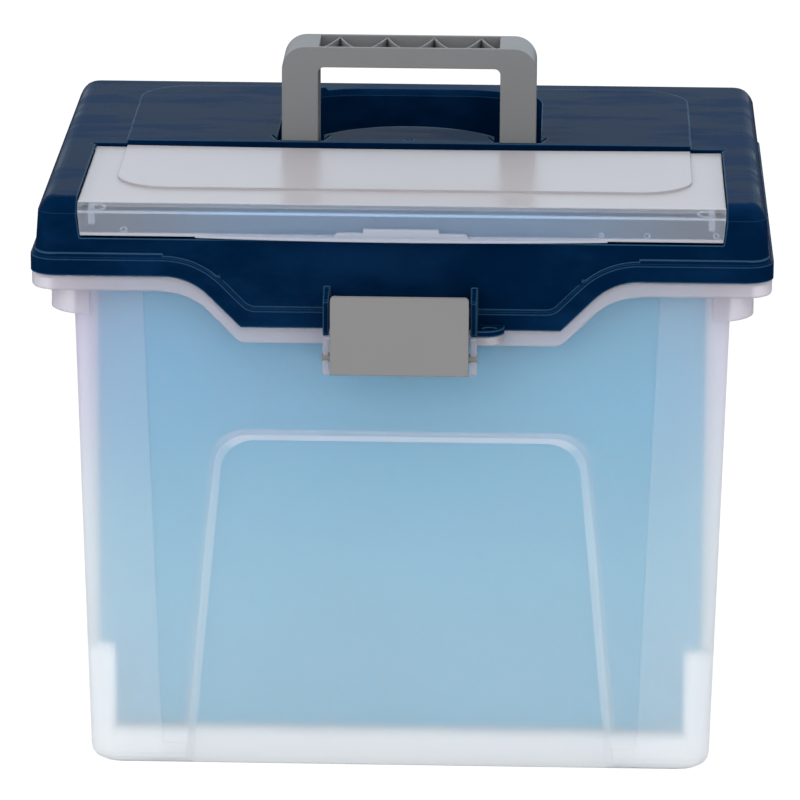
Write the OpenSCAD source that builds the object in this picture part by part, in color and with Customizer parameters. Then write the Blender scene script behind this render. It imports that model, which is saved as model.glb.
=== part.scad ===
// Portable file box: a translucent tub, a hinged lid with a covered tray in its front half,
// a folding carry handle, a snap latch, and a hanging folder on the tub's two rails.
// +X right, +Y back, +Z up. The origin is on the ground under the middle of the tub.

/* [Lid] */
// Width of the lid across its flange
lid_w = 362; // [356:1:368]
// Depth of the lid across its flange
lid_d = 276; // [272:1:280]
// Height of the closed box without the handle
box_h = 293.3; // [291:0.1:296]
// Height of the flange along the lid's lower edge
flange_h = 8.4; // [7.4:0.2:9.4]
// Thickness of the lid's walls
lid_wall = 2.2; // [2:0.1:2.4]
// Rise of the raised panel on the lid
panel_rise = 1.6; // [1:0.1:2]
// Half width of the raised panel
panel_half = 142; // [138:1:146]

/* [Seam] */
// Height of the lid above the seam
lid_h = 37.5; // [36.5:0.1:38.5]
// Depth of the lid's apron below the seam
apron_drop = 24.9; // [22:0.1:26]
// Half width of the apron's straight lower edge
apron_half = 77.8; // [74:0.2:82]
// Radius of the seam's upper bends
seam_r = 31; // [24:1:36]

/* [Tub] */
// Distance of the tub's side walls below the rim from the lid's sides
tub_inset_x = 20; // [19:0.2:21]
// How much further the side walls stand in at the floor
tub_taper_x = 6.4; // [5:0.2:8]
// Distance of the tub's front wall below the rim from the lid's front
tub_inset_y = 8; // [7.4:0.2:8.6]
// How much further the front wall stands in at the floor
tub_taper_y = 5.8; // [5:0.2:7]
// Thickness of the tub's walls
wall = 2.4; // [2:0.1:2.6]
// Height of the band below the seam
rim_h = 7.8; // [7:0.1:9]
// Depth of the two file rails below the seam
rail_drop = 5; // [4.6:0.1:5.6]

/* [Handle] */
// Width of the handle
handle_w = 128; // [124:1:130]
// Depth of the handle from front to back
handle_d = 32; // [30:1:32]
// Height of the handle above the lid, upright
handle_rise = 49.5; // [46:0.5:56]
// Width of each leg
leg_w = 18.2; // [16:0.2:19]
// Height of the crossbar
bar_h = 10.2; // [9:0.2:12]
// Number of ribs in the crossbar's pocket
rib_count = 4; // [3:1:6]

/* [Latch] */
// Width of the latch
latch_w = 67; // [63:1:70]
// Height of the latch
latch_h = 39; // [38:0.5:40]
// Radius of the padlock hole
lock_r = 3.3; // [2.5:0.1:3.6]

/* [Folder] */
// Width of the hanging folder
folder_w = 299; // [296:1:302]
// Height of the folder's lower edge above the ground
folder_low = 19.8; // [18:0.2:50]

/* [Hidden] */
$fn = 96;
eps = 0.01;
hw = lid_w / 2;
hd = lid_d / 2;
gap = 0.3;
tub_top_x = hw - tub_inset_x;
tub_low_x = tub_top_x - tub_taper_x;
tub_top_y = hd - tub_inset_y;
tub_low_y = tub_top_y - tub_taper_y;
seam_z = box_h - lid_h;
apron_z = seam_z - apron_drop;
rail_z = seam_z - rail_drop;

// The lid's wall stands in from the flange and leans in to a rounded shoulder
wall_in = 1.7;
shell_y = hd - wall_in;
shoulder_z = box_h - 7.3;
shoulder_in = 4;
shoulder_run = 7.8;
seam_arc_z = seam_z - seam_r;
seam_arc_x = apron_half + apron_drop - seam_r * (1 - cos(45)) + seam_r * sin(45);

// The handle folds back about a line across the lid
handle_y = 4;
handle_z = box_h - handle_d / 2 - 0.5;
handle_corner_r = 11.5;
handle_top = box_h + handle_rise;
handle_pin_r = 3.5;
running = 0.06;

// The recess that takes the folded handle
recess_half = handle_w / 2 + 2.5;
recess_front = handle_y - handle_d / 2 - 0.6;
recess_back = 113.8;
recess_r = 40;
recess_floor = handle_z - handle_d / 2 - 1.5;
island_half = handle_w / 2 - leg_w - 2.8;
island_r = 54.5;
island_back = 21.5;

// The tray in the lid's front half and the seat of its cover
seat_back = recess_front - 2;
seat_half = 157.6;
seat_z = box_h - 15;
sill_z = box_h - 19.3;
tray_half = 148;
tray_front = -126;
tray_back = -26;
tray_floor = box_h - 33.5;

// The cover of the tray
cover_half = seat_half - 0.5;
cover_z = box_h - 1.9;
cover_t = 2;
cover_front = -134.8;
cover_low = sill_z + 1.2;
cover_panel_half = panel_half - 0.5;
cover_panel_rise = 1.2;
cover_panel_front = -104.6;
cover_back = seat_back - 0.8;
cover_sag = 3.6;
cover_pin_y = seat_back - 3.9;
cover_pin_z = cover_z - 1.8;
cover_pin_r = 1.6;
cover_rail_in = cover_half - 5.2;
cover_rail_t = 3.2;
lip_half = 100;
lip_reach = 5;
thumb_half = 33.5;
thumb_notch = 18.6;

// The rear hinge
hinge_y = hd + 4.5;
hinge_z = seam_z + 2;
hinge_x = 105;
hinge_half = 30;
knuckle_half = 15;
knuckle_r = 4;
hinge_pin_r = 2;

// The latch and the ears on both sides of it
latch_front = -hd - 20;
latch_back = latch_front + 16.2;
latch_low = seam_z - 43;
latch_t = 2.6;
latch_pin_y = -hd - 12;
latch_pin_z = latch_low + 7;
latch_pin_r = 2.2;
ear_in = latch_w / 2 + 0.9;
ear_t = 2.8;
ear_front = -hd - 14;
catch_z = seam_z - 19;

// The padlock tabs
tab_x = ear_in + ear_t + 6.2;
tab_half = 7.2;
tab_front = -hd - 12.7;
tab_y = -hd - 7;
tab_r = 10;

// The tub's walls lean outwards
foot_r = 7;
lean_h = seam_z;
lean = atan((tub_top_y - tub_low_y) / lean_h);
tub_r = 14;
lip = 1.2;
rim_in = 0.6;
rail_half = 117.5;
rail_cut_x = 0.6 * tub_top_x;
rail_cut_h = 20;
flat_low_in = 36.6;
flat_top_in = 35.2;
flat_low_x = tub_low_x - flat_low_in;
flat_top_x = tub_top_x - flat_top_in;
flat_low_z = 12;
skirt_x = hw - 9;
skirt_y = hd - 6.2;
skirt_r = 20;
skirt_t = 2.2;
skirt_low = seam_z - 21;
trough_z = seam_z - 9;
gusset_x = 143.5;
gusset_top = 70;
gusset_y = 116.5;

// The folder hangs just behind the tub's front wall
folder_y = -115.5;
folder_gap = 6;
folder_t = 0.8;
rod_t = 1.4;
rod_h = 6;
rod_half = tub_top_x - 6;
hook_x = tub_top_x + 4.2;

// Draws its children, given as (x, z), from y0 back to y1
module front(y0, y1) {
  translate([0, y1, 0]) rotate([90, 0, 0]) linear_extrude(y1 - y0) children();
}

// Draws its children, given as (y, z), from x0 to x1
module side(x0, x1) {
  translate([x0, 0, 0]) rotate([90, 0, 90]) linear_extrude(x1 - x0) children();
}

// Draws its children at x and again mirrored at -x
module both() {
  children();
  mirror([1, 0, 0]) children();
}

module rounded(x, y, r) {
  square([2 * (x - r), 2 * y], center = true);
  square([2 * x, 2 * (y - r)], center = true);
  for (sx = [-1, 1], sy = [-1, 1]) translate([sx * (x - r), sy * (y - r)]) circle(r = r);
}

module bar_x(y, z, r, x0, x1) {
  translate([x0, y, z]) rotate([0, 90, 0]) cylinder(r = r, h = x1 - x0);
}

// The part of the front that lies above the seam, drawn in by k; low_r as in along_dip
module above_seam(k, low_r = 0) {
  r = seam_r + k;
  low_z = seam_z - apron_drop + k;
  end_x = seam_arc_x - r * sin(45);
  end_z = seam_arc_z + r * cos(45);
  low_x = end_x - (end_z - low_z);
  cut = max(low_r - k, 0) * tan(22.5);
  difference() {
    polygon([[-seam_arc_x, seam_arc_z + r], [-end_x, end_z],
             [-low_x - cut * cos(45), low_z + cut * sin(45)], [cut - low_x, low_z],
             [low_x - cut, low_z], [low_x + cut * cos(45), low_z + cut * sin(45)],
             [end_x, end_z], [seam_arc_x, seam_arc_z + r]]);
    for (s = [-1, 1]) translate([s * seam_arc_x, seam_arc_z]) circle(r = r);
  }
  if (low_r > k) for (s = [-1, 1]) {
    translate([s * (low_x - cut), low_z + low_r - k]) circle(r = low_r - k);
  }
  translate([-hw - 5, seam_z + k]) square([lid_w + 10, 60]);
}

// The width in which the seam leaves the level
module front_window() {
  translate([-seam_arc_x, seam_z - 2 * apron_drop]) square([2 * seam_arc_x, 4 * apron_drop]);
}

// Sweeps its children, given as (distance inwards, z), round a rounded rectangle
module around(x, y, r) {
  for (turn = [0, 180]) rotate([0, 0, turn]) {
    translate([r - x, -y, 0]) rotate([90, 0, 90]) linear_extrude(2 * (x - r)) children();
    translate([x, r - y, 0]) rotate([90, 0, 180]) linear_extrude(2 * (y - r)) children();
    translate([x - r, r - y, 0]) rotate([0, 0, -90]) rotate_extrude(angle = 90) {
      translate([r, 0]) mirror([1, 0]) children();
    }
    translate([x - r, y - r, 0]) rotate_extrude(angle = 90) translate([r, 0]) mirror([1, 0]) children();
  }
}

// Sweeps its children, given as (distance above the seam, distance inwards), along the
// seam's dip at the front; low_r is the radius of the dip's lower corners at the seam
module along_dip(low_r) {
  low_x = apron_half - low_r * tan(22.5);
  low_z = seam_z - apron_drop;
  end_z = seam_arc_z + seam_r * cos(45);
  slope = (end_z - low_z) * sqrt(2) - low_r * tan(22.5);
  both() {
    translate([seam_arc_x, -hd, seam_arc_z]) rotate([-90, 0, 0]) rotate([0, 0, 225]) {
      rotate_extrude(angle = 45) translate([seam_r, 0]) children();
    }
    translate([seam_arc_x - seam_r * sin(45), -hd, end_z]) rotate([0, -135, 0]) {
      linear_extrude(slope) children();
    }
    translate([low_x, -hd, low_z + low_r]) rotate([-90, 0, 0]) rotate([0, 0, 45]) {
      rotate_extrude(angle = 45) translate([low_r, 0]) mirror([1, 0]) children();
    }
  }
  // The level run is a hair lower than the bends, so that their edges stay apart
  translate([low_x, -hd, low_z]) rotate([0, -90, 0]) linear_extrude(2 * low_x) intersection() {
    children();
    square([flange_h + 1.55, 10]);
  }
}

// One level of the lid's outer wall: x and y are how far it stands in from the flange
module lid_level(z, x, y, r) {
  translate([0, 0, z - eps]) linear_extrude(eps) rounded(hw - x, hd - y, r, $fn = 64);
}

module lid_outer() {
  first = 35;
  across = shoulder_run / cos(first);
  up = (box_h - shoulder_z) / (1 - sin(first));
  hull() {
    lid_level(seam_z, wall_in, wall_in, 12);
    for (a = [first:11:90]) {
      in = shoulder_in + shoulder_run - across * cos(a);
      lid_level(box_h - up * (1 - sin(a)), in, in - 0.6, 12 - 0.7 * in);
    }
  }
}

module lid_cavity() {
  t = lid_wall;
  hull() {
    lid_level(seam_z - 1, wall_in + t, wall_in + t, 10);
    lid_level(shoulder_z - 1, shoulder_in + t, shoulder_in - 0.6 + t, 7);
    lid_level(box_h - lid_wall, shoulder_in + 5.5 + t, shoulder_in + 4.9 + t, 4);
  }
}

// Outline of the handle's recess, drawn out by k
module recess_outline(k) {
  y0 = recess_front - k;
  y1 = recess_back + k;
  r = recess_r + k;
  x = recess_half + k;
  translate([-x, y0]) square([2 * x, y1 - y0 - r]);
  translate([-x + r, y0]) square([2 * (x - r), y1 - y0]);
  for (s = [-1, 1]) translate([s * (x - r), y1 - r]) circle(r = r);
}

// Outline of the island between the handle's legs, drawn in by k
module island_outline(k) {
  intersection() {
    translate([0, island_back - island_r]) circle(r = island_r - k);
    translate([-island_half + k, recess_front - 1 + k]) square([2 * (island_half - k), 60]);
  }
}

module raised_panel() {
  r = 28;
  y1 = 111;
  translate([0, 0, box_h - 1]) linear_extrude(panel_rise + 1) {
    translate([-panel_half, seat_back]) square([2 * panel_half, y1 - seat_back - r]);
    translate([-panel_half + r, seat_back]) square([2 * (panel_half - r), y1 - seat_back]);
    for (s = [-1, 1]) translate([s * (panel_half - r), y1 - r]) circle(r = r);
  }
}

// Walls and floors of the tray, the cover's seat, the sill and the recess, as solid blocks
module lid_blocks() {
  t = lid_wall;
  translate([-seat_half - t, -hd, seat_z - t]) cube([2 * (seat_half + t), seat_back + t + hd, 40]);
  translate([-tray_half - t, tray_front - t, tray_floor - t]) {
    cube([2 * (tray_half + t), tray_back - tray_front + 2 * t, 40]);
  }
  translate([-seat_half - t, -hd, sill_z - t]) cube([2 * (seat_half + t), hd + tray_front, 10]);
  translate([0, 0, recess_floor - t]) linear_extrude(60) recess_outline(t);
}

module lid_pockets() {
  over = 40;
  // The seat, the tray and the open front that the cover closes
  translate([-seat_half, -hd + 10, seat_z]) cube([2 * seat_half, seat_back + hd - 10, over]);
  translate([-tray_half, tray_front, tray_floor]) {
    cube([2 * tray_half, tray_back - tray_front, over]);
  }
  front(-hd - 10, -hd + 10.5) {
    polygon([[-seat_half + 1.4, sill_z], [seat_half - 1.4, sill_z], [seat_half, seat_z + 6],
             [seat_half, box_h + 20], [-seat_half, box_h + 20], [-seat_half, seat_z + 6]]);
  }
  // The handle's recess, with a bevelled rim at the back
  difference() {
    translate([0, 0, recess_floor]) linear_extrude(over + 10) recess_outline(0);
    translate([0, 0, recess_floor - 1]) linear_extrude(over + 12) island_outline(0);
  }
  bevel = 3.4;
  intersection() {
    hull() {
      translate([0, 0, box_h + panel_rise - 5]) linear_extrude(eps) recess_outline(0, $fn = 64);
      translate([0, bevel, box_h + panel_rise + 1]) linear_extrude(eps) recess_outline(0, $fn = 64);
    }
    translate([-recess_half - 20, recess_back - recess_r - 38, box_h - 10]) {
      cube([2 * recess_half + 40, recess_r + 60, 30]);
    }
  }
  // The island is hollow below
  translate([0, 0, recess_floor - 10]) {
    linear_extrude(box_h - lid_wall - recess_floor + 10) island_outline(lid_wall);
  }
}

// Short grooves beside the handle's legs, each with its (x, turn), and the gate mark on the island
module top_marks() {
  top = box_h + panel_rise;
  both() for (groove = [[recess_half + 1.2, 74], [island_half - 1.2, 106]]) {
    translate([groove[0], -6, top - 1.4]) rotate([0, 0, groove[1]]) {
      translate([-6, -0.9, 0]) cube([12, 1.8, 5]);
    }
  }
  translate([0, -8, top - 0.5]) difference() {
    cylinder(r = 2.4, h = 2);
    cylinder(r = 0.9, h = 0.4);
  }
}

// Reliefs in the rear corners of the cover's seat
module seat_notches() {
  both() translate([seat_half - 0.4, seat_back - 2.2, box_h - 1.6]) cylinder(r = 2.2, h = 10);
}

// The flange's upper edge as (distance inwards, height), and the coves that lead up to the wall
flange_edge = [[0, flange_h - 0.4], [0.4, flange_h], [1, flange_h + 0.5]];
level_cove = [[1.5, flange_h + 1.4], [2, flange_h + 2.4], [2.6, flange_h + 3.7], [3.2, flange_h + 5.4]];
dip_cove = [[1.5, flange_h + 1.6], [3.2, flange_h + 1.6]];

module lid_flange() {
  t = 2.8;
  low_r = 17.4;
  difference() {
    translate([0, 0, seam_z]) around(hw, hd, 14) {
      polygon(concat([[0, 0]], flange_edge, level_cove, [[3.2, flange_h], [t, flange_h], [t, 0]]));
    }
    front(-hd - 1, -hd + 6) front_window();
  }
  front(-hd, -hd + t) difference() {
    intersection() {
      above_seam(0);
      front_window();
      translate([-hw, seam_z - 40]) square([lid_w, 40 + flange_h - 0.4]);
    }
    above_seam(flange_h - 0.4, low_r);
  }
  along_dip(low_r) {
    polygon(concat([[flange_h - 3, 0]], [for (p = concat(flange_edge, dip_cove)) [p[1], p[0]]],
                   [[flange_h - 3, 3.2]]));
  }
  // The apron behind the flange
  front(-shell_y, -shell_y + lid_wall) intersection() {
    above_seam(0);
    translate([-hw + 20, seam_z - 40]) square([lid_w - 40, 41]);
  }
}

// Side view of an ear from z0 up to z1, with a sloped top
module ear_profile(z0, z1) {
  r = 1;
  polygon([[-shell_y + 1, z0], [ear_front + r, z0], [ear_front, z0 + r], [ear_front, z1 - 3.6],
           [ear_front + r, z1 - 2.6], [-shell_y - 2, z1], [-shell_y + 1, z1 + 0.4]]);
}

// Outline of a padlock tab beside the ear, back to back_y
module tab_outline(back_y) {
  x0 = ear_in + ear_t;
  x1 = tab_x + tab_half;
  difference() {
    union() {
      translate([x0, tab_front]) square([x1 - tab_r - x0, back_y - tab_front]);
      translate([x0, tab_front + tab_r]) square([x1 - x0, back_y - tab_front - tab_r]);
      intersection() {
        translate([x1 - tab_r, tab_front + tab_r]) circle(r = tab_r);
        translate([x0, tab_front]) square([x1 - x0, tab_r]);
      }
    }
    translate([tab_x, tab_y]) circle(r = lock_r);
  }
}

module lid_front_fittings() {
  both() side(ear_in, ear_in + ear_t) ear_profile(apron_z - 0.1, seam_z - 4.6);
  // The catch that the latch holds
  translate([-latch_w / 2 + 4, -hd - 2.8, catch_z]) cube([latch_w - 8, 5.4, 2.5]);
}

module lid_knuckles() {
  both() difference() {
    union() {
      bar_x(hinge_y, hinge_z, knuckle_r, hinge_x - knuckle_half + gap, hinge_x + knuckle_half - gap);
      side(hinge_x - knuckle_half + gap, hinge_x + knuckle_half - gap) {
        polygon([[shell_y - 1, hinge_z], [hinge_y, hinge_z], [hinge_y, hinge_z + knuckle_r],
                 [shell_y - 1, hinge_z + knuckle_r]]);
      }
    }
    bar_x(hinge_y, hinge_z, hinge_pin_r + running, hinge_x - hinge_half, hinge_x + hinge_half);
  }
}

// The lid's top, walls, tray and recess without flange
module lid_top() {
  difference() {
    union() {
      difference() {
        lid_outer();
        difference() {
          lid_cavity();
          lid_blocks();
        }
      }
      raised_panel();
    }
    lid_pockets();
    top_marks();
    seat_notches();
    both() {
      bar_x(handle_y, handle_z, handle_pin_r + running, island_half - 4, recess_half + 4);
      bar_x(cover_pin_y, cover_pin_z, cover_pin_r + running, seat_half - 1, seat_half + 4);
    }
  }
}

module lid_shell() {
  color("#0a2a4f") lid_top();
}

// The flange, apron, ears, catch and knuckles that are moulded on the lid
module lid_rim() {
  color("#0a2a4f") difference() {
    union() {
      lid_flange();
      lid_front_fittings();
      lid_knuckles();
    }
    lid_top();
  }
}

// Side view of the cover: the plate, the slanted shoulder and the front
module cover_section() {
  y = cover_front;
  polygon([[0, cover_z], [y + 2.6, cover_z], [y + 2, cover_z - 0.5], [y + 0.1, cover_z - 4.3],
           [y, cover_z - 5], [y, cover_low], [y + 1.8, cover_low], [y + 1.8, cover_z - 4.4],
           [y + 3.4, cover_z - cover_t], [0, cover_z - cover_t]]);
}

// The raised panel's plan
module cover_panel_outline() {
  r = 26;
  x = cover_panel_half;
  y = cover_panel_front;
  translate([-x, y + r]) square([2 * x, -y - r]);
  translate([-x + r, y]) square([2 * (x - r), -y]);
  for (s = [-1, 1]) translate([s * (x - r), y + r]) circle(r = r);
}

// The curved lip along the lower edge, and the thumb grip in its middle
module cover_lip() {
  lip_r = (lip_half * lip_half + lip_reach * lip_reach) / (2 * lip_reach);
  translate([0, 0, cover_low - 0.6]) linear_extrude(1.4) intersection() {
    translate([0, cover_front - lip_reach + lip_r]) circle(r = lip_r, $fn = 720);
    translate([-lip_half, cover_front - lip_reach]) square([2 * lip_half, lip_reach + 1.5]);
  }
  x = thumb_half;
  z = cover_low + 3;
  front(cover_front - 1.6, cover_front + 1) {
    polygon([[-x, z - 2.6], [x, z - 2.6], [x - 2.5, z], [thumb_notch, z], [thumb_notch - 0.4, z + 2],
             [0.4 - thumb_notch, z + 2], [-thumb_notch, z], [2.5 - x, z]]);
  }
}

module lid_lock_tab() {
  color("#0a2a4f") translate([0, 0, apron_z - 0.1]) linear_extrude(2.8) tab_outline(-hd);
}

module organizer_cover() {
  x = cover_half;
  back_r = (x * x + cover_sag * cover_sag) / (2 * cover_sag);
  color("#d8dade") {
    difference() {
      union() {
        intersection() {
          side(-x, x) cover_section();
          front(cover_front - 1, 0) {
            polygon([[-x + 1.2, cover_low - 1], [x - 1.2, cover_low - 1], [x, cover_z - 5],
                     [x, cover_z + 1], [-x, cover_z + 1], [-x, cover_z - 5]]);
          }
        }
        translate([0, 0, cover_z - 0.6]) linear_extrude(0.6 + cover_panel_rise) cover_panel_outline();
        both() translate([cover_rail_in, cover_front + 1, cover_z - 9.4]) {
          cube([cover_rail_t, cover_pin_y - cover_front - 1.5, 8.4]);
        }
      }
      // The rear edge sags forward in the middle and is bevelled on top
      translate([0, back_r + cover_back - cover_sag, cover_z - 20]) cylinder(r = back_r, h = 20, $fn = 1440);
      translate([0, back_r + cover_back - cover_sag, cover_z]) {
        cylinder(r1 = back_r, r2 = back_r + 1.2, h = 1.6, $fn = 1440);
      }
    }
    both() bar_x(cover_pin_y, cover_pin_z, cover_pin_r, cover_rail_in + 1, seat_half + lid_wall - 0.2);
    cover_lip();
  }
}

module handle_front_outline() {
  r = handle_corner_r;
  window_r = 3;
  x = handle_w / 2;
  inner = x - leg_w;
  low = handle_z - handle_d / 2;
  sill = handle_top - bar_h;
  difference() {
    union() {
      translate([-x, low]) square([2 * x, handle_top - low - r]);
      translate([-x + r, low]) square([2 * (x - r), handle_top - low]);
      for (s = [-1, 1]) translate([s * (x - r), handle_top - r]) circle(r = r);
    }
    translate([-inner, low - 1]) square([2 * inner, sill - low + 1 - window_r]);
    translate([-inner + window_r, low - 1]) square([2 * (inner - window_r), sill - low + 1]);
    for (s = [-1, 1]) translate([s * (inner - window_r), sill - window_r]) circle(r = window_r);
  }
}

module handle_side_outline() {
  translate([handle_y, handle_z]) circle(r = handle_d / 2);
  translate([handle_y - handle_d / 2, handle_z]) square([handle_d, handle_top - handle_z]);
}

// One rib of the pocket: a parabola, tangent to the front wall
module arch_rib(half, reach, t) {
  steps = 10;
  outer = [for (i = [-steps:steps]) [half * i / steps, reach * (pow(i / steps, 2) - 1)]];
  inner = [for (i = [steps:-1:-steps]) [(half - t) * i / steps, (reach - t) * (pow(i / steps, 2) - 1)]];
  polygon(concat(outer, inner));
}

module carry_handle() {
  skin = 2.4;
  pocket_half = handle_w / 2 - leg_w - 0.4;
  pocket_z = handle_top - bar_h + skin;
  y0 = handle_y - handle_d / 2 + skin;
  y1 = handle_y + handle_d / 2 - skin;
  pitch = 23.8;
  color("#8b8c8b") {
    difference() {
      intersection() {
        front(handle_y - handle_d, handle_y + handle_d) handle_front_outline();
        side(-handle_w, handle_w) handle_side_outline();
      }
      translate([-pocket_half, y0, pocket_z]) cube([2 * pocket_half, y1 - y0, bar_h]);
      // Each leg is a channel that is open at the back
      both() translate([handle_w / 2 - leg_w + skin, y0 + 1, handle_z + handle_d / 2 - 3]) {
        cube([leg_w - 2 * skin, handle_d, handle_top - bar_h - handle_z - handle_d / 2]);
      }
    }
    intersection() {
      translate([-pocket_half - 1, y0 - 1, pocket_z - 1]) {
        cube([2 * pocket_half + 2, y1 - y0 + 2, bar_h - skin]);
      }
      for (i = [0:rib_count]) translate([(i - rib_count / 2) * pitch, y1 + 0.4, pocket_z - 1]) {
        linear_extrude(bar_h - skin) arch_rib(pitch / 2 + 0.5, y1 - y0 + 1, 1.1);
      }
    }
    both() {
      bar_x(handle_y, handle_z, handle_pin_r, handle_w / 2 - 1, recess_half + lid_wall - 0.2);
      bar_x(handle_y, handle_z, handle_pin_r, island_half - lid_wall + 0.2, handle_w / 2 - leg_w + 1);
    }
  }
}

module front_latch() {
  x = latch_w / 2;
  top = latch_low + latch_h;
  r = 2;
  hook_z = catch_z + 3.4;
  color("#8f8f8c") {
    // The face, with rounded top corners
    front(latch_front, latch_front + latch_t) {
      translate([-x, latch_low]) square([2 * x, latch_h - r]);
      translate([-x + r, latch_low]) square([2 * (x - r), latch_h]);
      for (s = [-1, 1]) translate([s * (x - r), top - r]) circle(r = r);
    }
    // The hook that reaches in over the catch
    translate([-x + 1, latch_front + 1, hook_z]) cube([2 * x - 2, latch_back - latch_front - 1, 2.4]);
    translate([-x + 5, latch_back - 2, hook_z - 3.4]) cube([2 * x - 10, 2, 5]);
    // End walls and the pivot bar
    both() {
      side(x - 2.4, x) {
        translate([latch_front + 0.5, latch_low + 0.5]) square([7.5, hook_z + 2.4 - latch_low - 0.5]);
        translate([latch_front + 0.5, hook_z - 6]) square([latch_back - latch_front - 2.5, 8.4]);
        translate([latch_pin_y, latch_pin_z]) circle(r = 5);
      }
      bar_x(latch_pin_y, latch_pin_z, latch_pin_r, x - 1, ear_in + ear_t + 0.5);
    }
    bar_x(latch_pin_y, latch_pin_z, 3.2, -x + 1, x - 1);
    translate([-x + 1, latch_front + 1, latch_pin_z - 1]) cube([2 * x - 2, latch_pin_y - latch_front - 1, 2]);
  }
}

module hinge_pins() {
  color("#b9bcc0") both() {
    bar_x(hinge_y, hinge_z, hinge_pin_r, hinge_x - hinge_half, hinge_x + hinge_half);
  }
}

// One level of the tub: k is how far it stands in from the leaning wall's foot
module tub_level(z, k, r) {
  translate([0, 0, z]) linear_extrude(eps) rounded(tub_low_x - k, tub_low_y - k, r, $fn = 64);
}

module tub_outer() {
  hull() {
    for (a = [0:22.5:90]) tub_level(foot_r * (1 - cos(a)), foot_r * (1 - sin(a)), tub_r - 3 + 3 * sin(a));
    translate([0, 0, seam_z + lip - eps]) linear_extrude(eps) rounded(tub_top_x, tub_top_y, tub_r, $fn = 64);
  }
}

module tub_inner() {
  hull() {
    tub_level(wall, foot_r, tub_r - 5);
    tub_level(foot_r + 1, wall, tub_r - 1.5);
    translate([0, 0, seam_z + lip + 1]) linear_extrude(eps) {
      rounded(tub_top_x - wall, tub_top_y - wall, tub_r - 1.5, $fn = 64);
    }
  }
}

// Outline of the sunk panel in the tub's front
module sunk_outline(k) {
  low_x = 108.4 + k;
  top_x = 92.2 + k;
  top_z = 175.5 + k;
  r = 17;
  corner_x = top_x - r + 1.4;
  polygon([[-low_x, -2], [low_x, -2], [corner_x + r, top_z - r], [-corner_x - r, top_z - r]]);
  translate([-corner_x, top_z - 2 * r]) square([2 * corner_x, 2 * r]);
  for (s = [-1, 1]) translate([s * corner_x, top_z - r]) circle(r = r, $fn = 32);
}

// The space of the sunk panel: k is the outline's growth and d the move towards the inside
module sunk_space(k, d) {
  sunk_lean = lean + 0.5;
  floor_y = -tub_low_y + 3.4;
  hull() {
    translate([0, -tub_low_y - 0.4 + d / 2, 0]) rotate([90 + lean, 0, 0]) {
      linear_extrude(eps) sunk_outline(k);
    }
    translate([0, floor_y + d, 0]) rotate([90 + sunk_lean, 0, 0]) linear_extrude(eps) sunk_outline(k - 5);
  }
}

module gussets() {
  for (sy = [-1, 1]) scale([1, sy, 1]) both() front(-tub_top_y - 5, -gusset_y) {
    polygon([[gusset_x, 0], [tub_top_x + 5, 0], [tub_top_x + 5, gusset_top], [gusset_x, gusset_top - 10]]);
  }
}

// The rim: a ledge under the seam with a band hanging from it
module rim_band() {
  x = hw - rim_in;
  y = hd - rim_in;
  t = 2;
  low_r = 6;
  // The level ledge and its band
  difference() {
    translate([0, 0, seam_z - rim_h]) {
      linear_extrude(rim_h - gap) difference() {
        rounded(x - t, y - t, 11.6);
        rounded(tub_top_x - 1, tub_top_y - 1, tub_r - 1);
      }
      around(x, y, 13.6) polygon([[2, 0], [0.6, 0.2], [0, 1.2], [0, rim_h - gap - 0.6], [0.5, rim_h - gap],
                                  [t + 1, rim_h - gap], [t + 1, rim_h - 2], [t, rim_h - 2]]);
    }
    translate([0, 0, seam_z - rim_h - 1]) linear_extrude(rim_h - 1) difference() {
      rounded(x - t, y - t, 11.6);
      rounded(tub_top_x - 2, tub_top_y - 2, tub_r - 1);
    }
    front(-hd - 1, -tub_top_y + 2) front_window();
  }
  // The ledge where the seam dips, and its band
  front(-y, -tub_top_y + 1) difference() {
    intersection() {
      translate([0, -2.4]) above_seam(-gap, low_r);
      front_window();
      translate([-hw, 0]) square([lid_w, seam_z - gap]);
    }
    above_seam(-gap);
  }
  front(-y, -y + t) difference() {
    intersection() {
      translate([0, gap - rim_h]) above_seam(-gap, low_r);
      front_window();
      translate([-hw, 0]) square([lid_w, seam_z - gap]);
    }
    above_seam(-gap);
  }
}

// The side skirts under the rim, each with the trough that the folder's hooks hang in
module side_skirts() {
  translate([0, 0, skirt_low]) linear_extrude(seam_z - 1 - skirt_low) intersection() {
    difference() {
      rounded(skirt_x, skirt_y, skirt_r);
      rounded(skirt_x - skirt_t, skirt_y - skirt_t, skirt_r - skirt_t);
    }
    for (s = [-1, 1]) translate([s * skirt_x - 20, -hd]) square([40, lid_d]);
  }
  both() for (s = [-1, 1]) {
    translate([tub_top_x - 1.5, s * (rail_half + 1) - 1, trough_z - 2]) {
      cube([skirt_x - skirt_t - tub_top_x + 2, 2, seam_z - 1 - trough_z + 2]);
    }
  }
  both() translate([tub_top_x - 1.5, -rail_half - 1, trough_z - 2]) {
    cube([skirt_x - skirt_t - tub_top_x + 2, 2 * rail_half + 2, 2]);
  }
}

module tub_front_fittings() {
  both() difference() {
    side(ear_in, ear_in + ear_t) {
      polygon([[-tub_top_y + 1, latch_low - 1.6], [ear_front + 1, latch_low - 1.6],
               [ear_front, latch_low - 0.6], [ear_front, apron_z - 1.2],
               [ear_front + 0.6, apron_z - 0.7], [-tub_top_y + 1, apron_z - 0.7]]);
    }
    bar_x(latch_pin_y, latch_pin_z, latch_pin_r + running, ear_in - 1, ear_in + ear_t + 1);
  }
}

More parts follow.
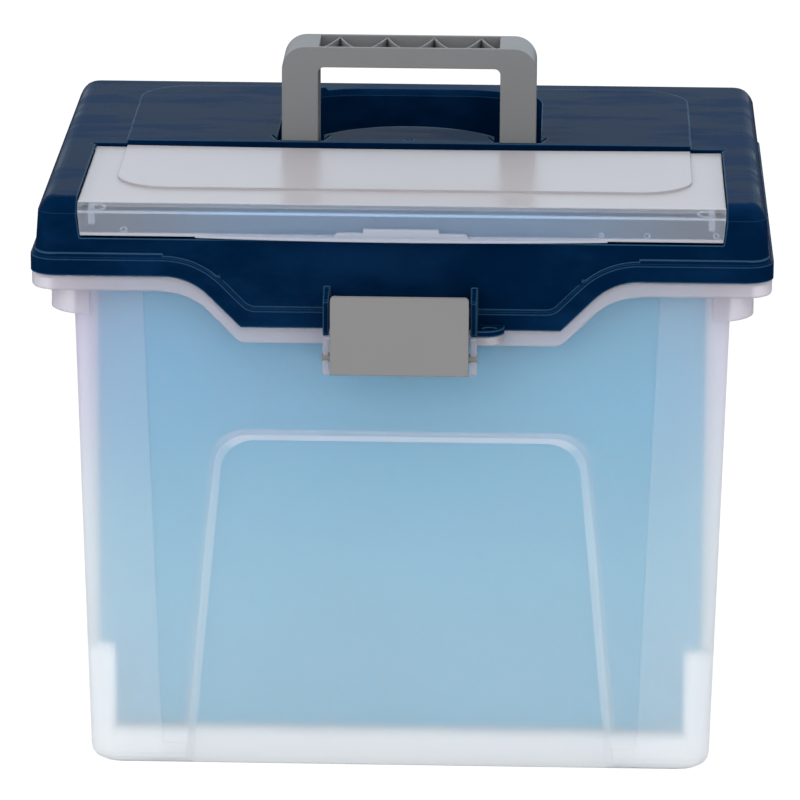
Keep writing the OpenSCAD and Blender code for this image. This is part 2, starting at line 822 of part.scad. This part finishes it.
module tub_knuckles() {
  both() for (s = [-1, 1]) difference() {
    x0 = hinge_x + s * (hinge_half + knuckle_half) / 2 - (hinge_half - knuckle_half) / 2;
    union() {
      bar_x(hinge_y, hinge_z, knuckle_r, x0, x0 + hinge_half - knuckle_half);
      side(x0, x0 + hinge_half - knuckle_half) {
        polygon([[hd - 2, seam_z - rim_h + 0.5], [hd - 2, seam_z - 0.6], [hd + 0.8, seam_z - 0.6],
                 [hinge_y, hinge_z], [hinge_y + knuckle_r, hinge_z], [hinge_y + 1, seam_z - rim_h + 0.5]]);
      }
    }
    bar_x(hinge_y, hinge_z, hinge_pin_r, hinge_x - hinge_half - 1, hinge_x + hinge_half + 1);
  }
}

// The tub's floor and walls without rim
module tub_walls() {
  sunk_t = 2.6;
  difference() {
    tub_outer();
    difference() {
      tub_inner();
      sunk_space(sunk_t, sunk_t);
      gussets();
    }
    // The flat middle of the front wall
    translate([0, -tub_low_y + 0.5, 0]) rotate([90 + lean, 0, 0]) linear_extrude(10) {
      polygon([[-flat_low_x, flat_low_z], [flat_low_x, flat_low_z],
               [flat_top_x, seam_z - rim_h - 1], [-flat_top_x, seam_z - rim_h - 1]]);
    }
    sunk_space(0, 0);
    front(-tub_top_y - 5, -tub_top_y + 5) intersection() {
      above_seam(lip);
      front_window();
    }
    // The rails are cut down from the side walls
    both() translate([rail_cut_x, -rail_half, rail_z]) {
      cube([skirt_x - skirt_t - rail_cut_x, 2 * rail_half, rail_cut_h]);
    }
  }
}

module base_tub() {
  color("#dfe3ea") tub_walls();
}

// The rim, skirts, ears and knuckles that are moulded on the walls
module tub_rim() {
  color("#dfe3ea") difference() {
    union() {
      difference() {
        rim_band();
        both() translate([rail_cut_x, -rail_half, trough_z]) {
          cube([skirt_x - skirt_t - rail_cut_x, 2 * rail_half, rail_cut_h]);
        }
      }
      side_skirts();
      tub_front_fittings();
      tub_knuckles();
    }
    tub_walls();
  }
}

module tub_lock_tab() {
  color("#dfe3ea") translate([0, 0, apron_z - 4.2]) linear_extrude(3.5) tab_outline(-hd + rim_in);
}

// Side view of one folder wall's fold over its rod
module rod_sleeve(y) {
  low = rail_z - rod_h - 0.2;
  difference() {
    translate([y - 0.7, low - 0.6]) square([rod_t + 1.8, rod_h + 1.6]);
    translate([y - 0.1, low]) square([rod_t + 0.6, rod_h + 0.4]);
  }
}

module file_folder() {
  wall_h = rail_z - folder_low - rod_h - 0.4;
  back_y = folder_y + folder_gap;
  color("#4f93c4") side(-folder_w / 2, folder_w / 2) {
    translate([folder_y, folder_low]) square([folder_t, wall_h]);
    translate([back_y, folder_low]) square([folder_t, wall_h]);
    translate([folder_y, folder_low]) square([folder_gap, folder_t]);
    rod_sleeve(folder_y);
    rod_sleeve(back_y);
  }
}

module folder_rods() {
  color("#a9adb2") for (y = [folder_y, folder_y + folder_gap]) {
    translate([-rod_half, y + 0.1, rail_z - rod_h]) cube([2 * rod_half, rod_t, rod_h]);
  }
}

module rod_hooks() {
  x0 = rod_half;
  color("#eceef0") for (y = [folder_y, folder_y + folder_gap]) both() {
    front(y, y + 2) polygon([[x0, rail_z - rod_h], [x0, rail_z + 3.6], [hook_x, rail_z + 3.6],
                             [hook_x, rail_z - 2.8], [hook_x - 2.4, rail_z - 2.8],
                             [hook_x - 2.4, rail_z + 0.2], [x0 + 2, rail_z + 0.2],
                             [x0 + 2, rail_z - rod_h]]);
  }
}

base_tub();
tub_rim();
tub_lock_tab();
lid_shell();
lid_rim();
lid_lock_tab();
organizer_cover();
carry_handle();
front_latch();
hinge_pins();
file_folder();
folder_rods();
rod_hooks();
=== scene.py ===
"""Portable file box: materials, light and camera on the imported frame.

Lengths are metres in the row frame: the box stands on Z 0 and its front faces -Y. The CAD
solids stay as they are, and each node only gets a material made of shader nodes.
"""

import math

import bpy
from mathutils import Matrix, Vector

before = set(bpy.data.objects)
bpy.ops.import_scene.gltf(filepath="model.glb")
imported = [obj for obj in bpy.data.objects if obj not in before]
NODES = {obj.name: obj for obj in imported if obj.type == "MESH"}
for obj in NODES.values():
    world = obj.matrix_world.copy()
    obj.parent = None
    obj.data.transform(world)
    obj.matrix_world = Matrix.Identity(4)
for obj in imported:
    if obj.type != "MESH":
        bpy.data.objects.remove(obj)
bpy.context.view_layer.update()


# Places on the box ----------------------------------------------------------------------
# A pair says where a soft mask is 0 and where it is 1. "Across" is the distance from the
# middle plane, the same to both sides.
LID_WALL_END_Z = 0.2558
LID_WALL_END_FADE = (0.0012, 0.0025)
LID_FLANK_ACROSS = (0.0872, 0.0884)
LID_COVE_TOP_Z = 0.2688
LID_COVE_TOP_FADE = (0.0014, 0.0022)

TUB_FLOOR_Z = (0.024, 0.015)
TUB_GUSSET_Z = (0.068, 0.058)
TUB_GUSSET_ACROSS = (0.139, 0.1445)
TUB_CORNER_ACROSS = (0.146, 0.158)
TUB_FRONT_Y = (-0.118, -0.12)
TUB_FRONT_ACROSS = (0.132, 0.13)
TUB_PANEL_ACROSS = (0.119, 0.116)
TUB_MILKY_Z = (0.23, 0.02)
# Where the painted shade under the rim fades in, by height and from right to left
TUB_PAINTED_SHADE_Z = (0.1, 0.24)
TUB_PAINTED_SHADE_X = (0.12, -0.12)
# The flat middle of the front is this wide to each side at the floor, and wider above
TUB_MIDDLE_ACROSS = 0.1175
TUB_MIDDLE_SPREAD = 0.0335
TUB_MIDDLE_FADE = (0.0006, -0.0004)
TUB_STEP_FADE = (0.0014, 0.0006)
# How far a face of the tub's front is turned from the leaning wall
TURNED_FACE = (0.12, 0.3)
WALL_LEAN = 0.03

COVER_PLATE_Z = (0.2886, 0.2892)
COVER_PLATE_Y = (-0.1328, -0.1322)
COVER_SHOULDER_Z = (0.2868, 0.2874)
COVER_CREASE_LOW_Z = (0.2861, 0.2865)
COVER_CREASE_HIGH_Z = (0.2877, 0.2873)
COVER_LIP_Z = (0.2772, 0.2762)
COVER_LIP_Y = (-0.135, -0.1353)
COVER_FRONT_Y = (-0.131, -0.1322)
COVER_SHADE_ACROSS = (0.155, 0.06)
TRAY_RAIL_INNER_ACROSS = (0.1484, 0.149)
TRAY_RAIL_OUTER_ACROSS = (0.1522, 0.1516)
TRAY_RAIL_Z = (0.2806, 0.2812)
# Centre (X, Z) and radii (X, Z) of the mould's marks on the cover's shoulder and front
MOULD_MARKS = (
    ((-0.147, 0.2892), (0.0032, 0.0013)),
    ((0.147, 0.2892), (0.0032, 0.0013)),
    ((-0.1346, 0.2783), (0.0015, 0.0013)),
    ((0.097, 0.2783), (0.0011, 0.001)),
    ((0.119, 0.2783), (0.0013, 0.0012)),
    ((0.1525, 0.2786), (0.0013, 0.0012)),
)
MARK_LINE = (0.3, 0.12)

WHITE_SEEN = 1.05


# Shader helpers -------------------------------------------------------------------------
class Tree:
    """A small builder for the shader nodes of a material or a world."""

    def __init__(self, owner, output="ShaderNodeOutputMaterial"):
        owner.use_nodes = True
        self.tree = owner.node_tree
        self.tree.nodes.clear()
        self.out = self.tree.nodes.new(output)

    def node(self, kind, inputs=None, **settings):
        n = self.tree.nodes.new(kind)
        for key, value in settings.items():
            setattr(n, key, value)
        for key, value in (inputs or {}).items():
            self.set(n.inputs[key], value)
        return n

    def set(self, socket, value):
        if isinstance(value, bpy.types.NodeSocket):
            self.tree.links.new(value, socket)
        else:
            socket.default_value = value

    def math(self, operation, a, b=0.0, clamp=False):
        n = self.node("ShaderNodeMath", {0: a, 1: b}, operation=operation, use_clamp=clamp)
        return n.outputs[0]

    def minus(self, a, b, clamp=False):
        return self.math("SUBTRACT", a, b, clamp)

    def size(self, a):
        """The value without its sign."""
        return self.math("ABSOLUTE", a)

    def times(self, first, *others):
        for other in others:
            first = self.math("MULTIPLY", first, other)
        return first

    def most(self, first, *others):
        for other in others:
            first = self.math("MAXIMUM", first, other)
        return first

    def where(self):
        """The point in the row frame, as a vector."""
        return self.node("ShaderNodeTexCoord").outputs["Object"]

    def parts(self, vector):
        n = self.node("ShaderNodeSeparateXYZ", {0: vector})
        return n.outputs[0], n.outputs[1], n.outputs[2]

    def noise(self, where, scale, detail=2.0, stretch=(1, 1, 1), roughness=0.5):
        mapped = self.node("ShaderNodeMapping", {"Vector": where, "Scale": stretch})
        n = self.node("ShaderNodeTexNoise", {"Vector": mapped.outputs[0], "Scale": scale,
                                             "Detail": detail, "Roughness": roughness})
        return n.outputs[0]

    def ramp(self, value, low, high, to_low=0.0, to_high=1.0):
        """value mapped smoothly from low..high to to_low..to_high, clamped."""
        n = self.node("ShaderNodeMapRange", {0: value, 1: low, 2: high, 3: to_low, 4: to_high},
                      interpolation_type="SMOOTHSTEP")
        return n.outputs[0]

    def mix_color(self, factor, a, b):
        return self.node("ShaderNodeMix", {0: factor, 6: a, 7: b}, data_type="RGBA").outputs[2]

    def mix(self, factor, a, b):
        return self.node("ShaderNodeMixShader", {0: factor, 1: a, 2: b}).outputs[0]

    def bump(self, height, strength, distance, normal=None):
        inputs = {"Height": height, "Strength": strength, "Distance": distance}
        if normal is not None:
            inputs["Normal"] = normal
        return self.node("ShaderNodeBump", inputs).outputs[0]

    def bevel(self, radius, samples=6):
        return self.node("ShaderNodeBevel", {"Radius": radius}, samples=samples).outputs[0]

    def edge(self, radius, low=0.02, high=0.2):
        """1 along sharp edges, where the rounded normal leaves the face's own, else 0."""
        faces = self.node("ShaderNodeNewGeometry").outputs["Normal"]
        n = self.node("ShaderNodeVectorMath", {0: self.bevel(radius, 8), 1: faces},
                      operation="DOT_PRODUCT")
        return self.ramp(self.minus(1.0, n.outputs["Value"]), low, high)

    def principled(self, **inputs):
        """A Principled shader. An underscore in a name stands for a space."""
        inputs = {key.replace("_", " "): value for key, value in inputs.items()}
        return self.node("ShaderNodeBsdfPrincipled", inputs).outputs[0]

    def mirrored(self, ray):
        """1 for a mirrored ray. A ray that rough plastic lets through counts as glossy too."""
        return self.minus(ray.outputs["Is Glossy Ray"], ray.outputs["Is Transmission Ray"], True)

    def finish(self, surface):
        self.tree.links.new(surface, self.out.inputs["Surface"])


def linear(r, g, b):
    """A colour given as 0..255 screen values."""
    def one(c):
        c /= 255
        return c / 12.92 if c <= 0.04045 else ((c + 0.055) / 1.055) ** 2.4
    return (one(r), one(g), one(b), 1.0)


def brighter(color, share):
    return tuple(min(1.0, c * share) for c in color[:3]) + (1.0,)


def give(name, material):
    node = NODES[name]
    node.data.materials.clear()
    node.data.materials.append(material)


# Opaque materials -----------------------------------------------------------------------
def navy_plastic():
    """The lid's dark plastic, with soft streaks and painted highlights as pale lines along its edges.
    """
    material = bpy.data.materials.new("navy_lid")
    t = Tree(material)
    where = t.where()
    x, y, z = t.parts(where)
    streaks = t.noise(where, 30, 5, (0.5, 1.6, 1.0), 0.6)
    clouds = t.noise(where, 9, 3)
    grain = t.noise(where, 900, 1)
    color = t.mix_color(t.ramp(streaks, 0.4, 0.7), linear(0, 22, 48), linear(5, 33, 64))
    # Between the dip's flanks the wall runs on into the apron, with no edge at its lower end, so
    # neither rounding nor painted highlight is drawn there
    flank = t.ramp(t.size(x), *LID_FLANK_ACROSS)
    sharp = t.most(t.ramp(t.size(t.minus(z, LID_WALL_END_Z)), *LID_WALL_END_FADE), flank)
    # No painted highlight along the top of the cove
    cove = t.ramp(t.size(t.minus(z, LID_COVE_TOP_Z)), *LID_COVE_TOP_FADE)
    # Painted highlights: pale lines along the edges, mixed into the base colour
    edges = t.times(t.edge(0.0012, 0.008, 0.05), 0.5, sharp, cove)
    rough = t.math("ADD", t.ramp(streaks, 0.4, 0.64, 0.14, 0.32), t.times(clouds, 0.06))
    normal = t.bump(grain, 0.1, 0.0002, t.bevel(t.times(sharp, 0.0012)))
    t.finish(t.principled(Base_Color=t.mix_color(edges, color, linear(60, 98, 128)),
                          Roughness=rough, IOR=1.48, Specular_IOR_Level=0.007, Normal=normal))
    return material


def grey_plastic(name, color):
    material = bpy.data.materials.new(name)
    t = Tree(material)
    where = t.where()
    grain = t.noise(where, 700, 2)
    clouds = t.noise(where, 14, 2)
    t.finish(t.principled(Base_Color=t.mix_color(clouds, brighter(color, 0.95), brighter(color, 1.05)),
                          Roughness=t.ramp(clouds, 0.3, 0.7, 0.38, 0.5), Specular_IOR_Level=0.15,
                          Normal=t.bump(grain, 0.1, 0.0003, t.bevel(0.0009))))
    return material


def card(name, color):
    material = bpy.data.materials.new(name)
    t = Tree(material)
    where = t.where()
    fibres = t.noise(where, 330, 4, (1, 1, 0.6), 0.65)
    clouds = t.noise(where, 12, 2)
    mottle = t.ramp(t.math("ADD", fibres, t.times(clouds, 0.25)), 0.4, 0.85)
    t.finish(t.principled(Base_Color=t.mix_color(mottle, brighter(color, 0.9), brighter(color, 1.1)),
                          Roughness=0.75, Normal=t.bump(fibres, 0.3, 0.0003)))
    return material


def metal(name, color, rough):
    material = bpy.data.materials.new(name)
    t = Tree(material)
    drawn = t.noise(t.where(), 1200, 2, (0.04, 1, 1))
    t.finish(t.principled(Base_Color=color, Metallic=1.0,
                          Roughness=t.ramp(drawn, 0.3, 0.7, rough, rough + 0.15),
                          Normal=t.bump(drawn, 0.2, 0.0002)))
    return material


# Frosted plastic ------------------------------------------------------------------------
def frosted(name, clear, tint, density, face_rough=0.38, back_share=0.45, shade=None,
            shade_tint=None):
    """Plastic that lets light through and scatters it. density is a function of the builder
    and the place that gives 0 for clear to 1 for milky. shade is one too, and where it gives
    1, the tint is shade_tint."""
    material = bpy.data.materials.new(name)
    t = Tree(material)
    where = t.where()
    x, y, z = t.parts(where)
    clouds = t.noise(where, 16, 3)
    grain = t.noise(where, 500, 2)
    normal = t.bump(grain, 0.06, 0.0003, t.bevel(0.001, 4))
    through = t.principled(Base_Color=clear, Roughness=t.ramp(clouds, 0.3, 0.7, 0.3, 0.36),
                           IOR=1.33, Transmission_Weight=1.0, Normal=normal)
    if shade:
        tint = t.mix_color(shade(t, x, y, z), tint, shade_tint)
    spread = t.node("ShaderNodeBsdfTranslucent", {"Color": tint})
    face = t.principled(Base_Color=tint, Roughness=face_rough, Normal=normal)
    body = t.mix(back_share, face, spread.outputs[0])
    t.finish(t.mix(density(t, x, y, z), through, body))
    return material


def tub_density(t, x, y, z):
    """Milky at the floor, the gussets, the corners and the edges, clearest in the middle."""
    across = t.size(x)
    floor_band = t.ramp(z, *TUB_FLOOR_Z)
    gusset = t.times(t.ramp(z, *TUB_GUSSET_Z), t.ramp(across, *TUB_GUSSET_ACROSS))
    corner = t.ramp(across, *TUB_CORNER_ACROSS, 0.0, 0.8)
    front = t.times(t.ramp(y, *TUB_FRONT_Y), t.ramp(across, *TUB_FRONT_ACROSS))
    edges = t.times(t.edge(0.0014), 0.7, t.minus(1.0, front))
    # The bevel round the sunk panel faces sideways or up, unlike the wall, and is drawn milkier there
    # as a painted highlight line
    face_x, face_y, face_z = t.parts(t.node("ShaderNodeNewGeometry").outputs["True Normal"])
    sides = t.ramp(t.size(face_x), *TURNED_FACE, 0.0, 0.4)
    top = t.ramp(t.size(t.math("ADD", face_z, WALL_LEAN)), *TURNED_FACE, 0.0, 0.8)
    bevel = t.times(t.most(sides, top), front, t.ramp(across, *TUB_PANEL_ACROSS))
    # The step to the thinner middle faces sideways too, and gets the same painted highlight
    middle_edge = t.math("ADD", TUB_MIDDLE_ACROSS, t.times(z, TUB_MIDDLE_SPREAD))
    from_step = t.minus(across, middle_edge)
    step = t.times(sides, front, t.ramp(t.size(from_step), *TUB_STEP_FADE))
    middle = t.ramp(from_step, *TUB_MIDDLE_FADE)
    more = t.most(corner, floor_band, gusset, edges, bevel, step)
    base = t.minus(t.ramp(z, *TUB_MILKY_Z, 0.28, 0.4), t.times(middle, 0.075))
    return t.math("ADD", base, t.times(more, 0.6), True)


def tub_painted_shade(t, x, y, z):
    """Painted shade under the rim, tinted with the dark lid's colour, stronger on the left."""
    return t.times(t.ramp(z, *TUB_PAINTED_SHADE_Z), t.ramp(x, *TUB_PAINTED_SHADE_X, 0.6, 1.0))


# Painted highlight: the rim's edges are drawn milkier, and so brighter
def rim_density(t, x, y, z):
    return t.math("ADD", 0.4, t.times(t.edge(0.001), 0.2))


def cover_plate(t, y, z):
    """1 on the cover's level top, 0 on its front."""
    return t.times(t.ramp(z, *COVER_PLATE_Z), t.ramp(y, *COVER_PLATE_Y))


def cover_lip(t, y, z):
    """1 on the lip along the cover's lower edge."""
    return t.most(t.ramp(z, *COVER_LIP_Z), t.ramp(y, *COVER_LIP_Y))


def mould_mark(t, x, z, centre, radii):
    """A thin oval ring, seen along Y."""
    u = t.math("DIVIDE", t.minus(x, centre[0]), radii[0])
    v = t.math("DIVIDE", t.minus(z, centre[1]), radii[1])
    far = t.math("SQRT", t.math("ADD", t.times(u, u), t.times(v, v)))
    return t.ramp(t.size(t.minus(far, 1.0)), *MARK_LINE)


def cover_density(t, x, y, z):
    """Milky on the top and the lip, clearer on the front, where rails and marks show, with a painted
    highlight line along the crease.
    """
    across = t.size(x)
    lip = t.times(cover_lip(t, y, z), 0.9)
    # Painted highlight: a bright line along the crease, drawn milkier
    crease_highlight = t.times(t.ramp(z, *COVER_CREASE_LOW_Z), t.ramp(z, *COVER_CREASE_HIGH_Z), 0.6)
    edges = t.most(crease_highlight, t.times(t.edge(0.001), 0.6))
    # The tray's rails lie behind the front
    rail = t.times(t.ramp(across, *TRAY_RAIL_INNER_ACROSS), t.ramp(across, *TRAY_RAIL_OUTER_ACROSS),
                   t.ramp(z, *TRAY_RAIL_Z), 0.4)
    rings = t.most(*[mould_mark(t, x, z, centre, radii) for centre, radii in MOULD_MARKS])
    marks = t.times(t.most(rail, t.times(rings, 0.5)), t.ramp(y, *COVER_FRONT_Y))
    more = t.most(cover_plate(t, y, z), lip, edges, marks)
    shoulder = t.times(t.ramp(z, *COVER_SHOULDER_Z), 0.1)
    return t.math("ADD", t.minus(0.26, shoulder), t.times(more, 0.6), True)


def cover_shade(t, x, y, z):
    """Bluer on the front, most of all in its middle, and less on the lip."""
    front = t.minus(1.0, cover_plate(t, y, z))
    across = t.ramp(t.size(x), *COVER_SHADE_ACROSS, 0.35, 1.0)
    return t.times(front, across, t.minus(1.0, t.times(cover_lip(t, y, z), 0.7)))


# What each node is made of --------------------------------------------------------------
navy = navy_plastic()
for name in ("lid_shell", "lid_rim", "lid_lock_tab"):
    give(name, navy)
clear = linear(238, 244, 248)
# The tub's lavender tint under the rim is painted shade
give("base_tub", frosted("frosted_tub", clear, linear(242, 244, 246), tub_density,
                         shade=tub_painted_shade, shade_tint=linear(230, 223, 238)))
rim = frosted("frosted_rim", linear(222, 221, 228), linear(232, 228, 236), rim_density)
for name in ("tub_rim", "tub_lock_tab"):
    give(name, rim)
give("organizer_cover", frosted("frosted_cover", clear, linear(186, 183, 187), cover_density,
                                face_rough=0.24, back_share=0.15, shade=cover_shade,
                                shade_tint=linear(176, 204, 238)))
give("carry_handle", grey_plastic("grey_handle", linear(115, 116, 117)))
give("front_latch", grey_plastic("grey_latch", linear(121, 120, 120)))
give("rod_hooks", grey_plastic("white_hooks", linear(225, 226, 230)))
give("file_folder", card("blue_card", linear(66, 194, 227)))
give("folder_rods", metal("zinc_rods", linear(190, 192, 196), 0.3))
give("hinge_pins", metal("steel_pins", linear(196, 198, 200), 0.22))


# Floor, light and camera ----------------------------------------------------------------
def floor():
    """A white floor, just under the box, that looks dim in what plastic mirrors."""
    side = 4.0
    mesh = bpy.data.meshes.new("floor")
    mesh.from_pydata([(-side, -side, 0), (side, -side, 0), (side, side, 0), (-side, side, 0)], [],
                     [(0, 1, 2, 3)])
    obj = bpy.data.objects.new("floor", mesh)
    bpy.context.scene.collection.objects.link(obj)
    obj.location.z = -0.0002
    material = bpy.data.materials.new("floor_white")
    t = Tree(material)
    ray = t.node("ShaderNodeLightPath")
    seen = t.node("ShaderNodeEmission", {"Color": (1, 1, 1, 1), "Strength": WHITE_SEEN})
    lit = t.node("ShaderNodeBsdfDiffuse", {"Color": (0.82, 0.82, 0.82, 1)})
    dim = t.node("ShaderNodeBsdfDiffuse", {"Color": (0.05, 0.05, 0.055, 1)})
    others = t.mix(t.mirrored(ray), lit.outputs[0], dim.outputs[0])
    t.finish(t.mix(ray.outputs["Is Camera Ray"], others, seen.outputs[0]))
    mesh.materials.append(material)


def sky():
    """White to the camera, soft light to the box, and darker in front in what it mirrors."""
    world = bpy.data.worlds.new("studio")
    bpy.context.scene.world = world
    t = Tree(world, "ShaderNodeOutputWorld")

    def glow(color, strength):
        return t.node("ShaderNodeBackground", {0: color + (1,), 1: strength}).outputs[0]

    ray = t.node("ShaderNodeLightPath")
    backwards = t.parts(t.node("ShaderNodeTexCoord").outputs["Generated"])[1]
    level = t.node("ShaderNodeMapRange", {0: backwards, 1: -0.3, 2: 0.7, 3: 0.02, 4: 1.0})
    lit = t.mix(t.mirrored(ray), glow((0.99, 0.99, 1.0), 1.35),
                glow((0.76, 0.92, 1.06), level.outputs[0]))
    t.finish(t.mix(ray.outputs["Is Camera Ray"], lit, glow((1.0, 1.0, 1.0), WHITE_SEEN)))


def softbox(name, at, target, size, power):
    light = bpy.data.lights.new(name, "AREA")
    light.shape = "RECTANGLE"
    light.size, light.size_y = size
    light.energy = power
    obj = bpy.data.objects.new(name, light)
    bpy.context.scene.collection.objects.link(obj)
    obj.location = at
    obj.rotation_euler = (Vector(target) - Vector(at)).to_track_quat("-Z", "Y").to_euler()
    obj.visible_glossy = False


def camera():
    """The viewpoint of the photograph, with the slight roll that it has."""
    target, distance = Vector((-0.0041, 0, 0.1561)), 2.983
    azimuth, elevation, roll = math.radians(1.69), math.radians(15.8), 0.0051
    data = bpy.data.cameras.new("camera")
    data.sensor_width = 36
    data.lens = 262.03
    data.clip_end = 50
    obj = bpy.data.objects.new("camera", data)
    bpy.context.scene.collection.objects.link(obj)
    back = Vector((math.sin(azimuth) * math.cos(elevation),
                   -math.cos(azimuth) * math.cos(elevation),
                   math.sin(elevation)))
    level_right = Vector((math.cos(azimuth), math.sin(azimuth), 0))
    level_up = back.cross(level_right)
    right = math.cos(roll) * level_right + math.sin(roll) * level_up
    up = -math.sin(roll) * level_right + math.cos(roll) * level_up
    place = Matrix((right, up, back)).transposed().to_4x4()
    place.translation = target + distance * back
    obj.matrix_world = place
    bpy.context.scene.camera = obj


floor()
sky()
softbox("key_top", (0.1, -0.5, 2.0), (0, 0, 0.2), (1.8, 1.4), 9)
softbox("front_left", (-1.5, -2.0, 1.0), (0, 0, 0.15), (1.0, 1.4), 8)
camera()
bpy.context.scene.view_settings.view_transform = "Standard"
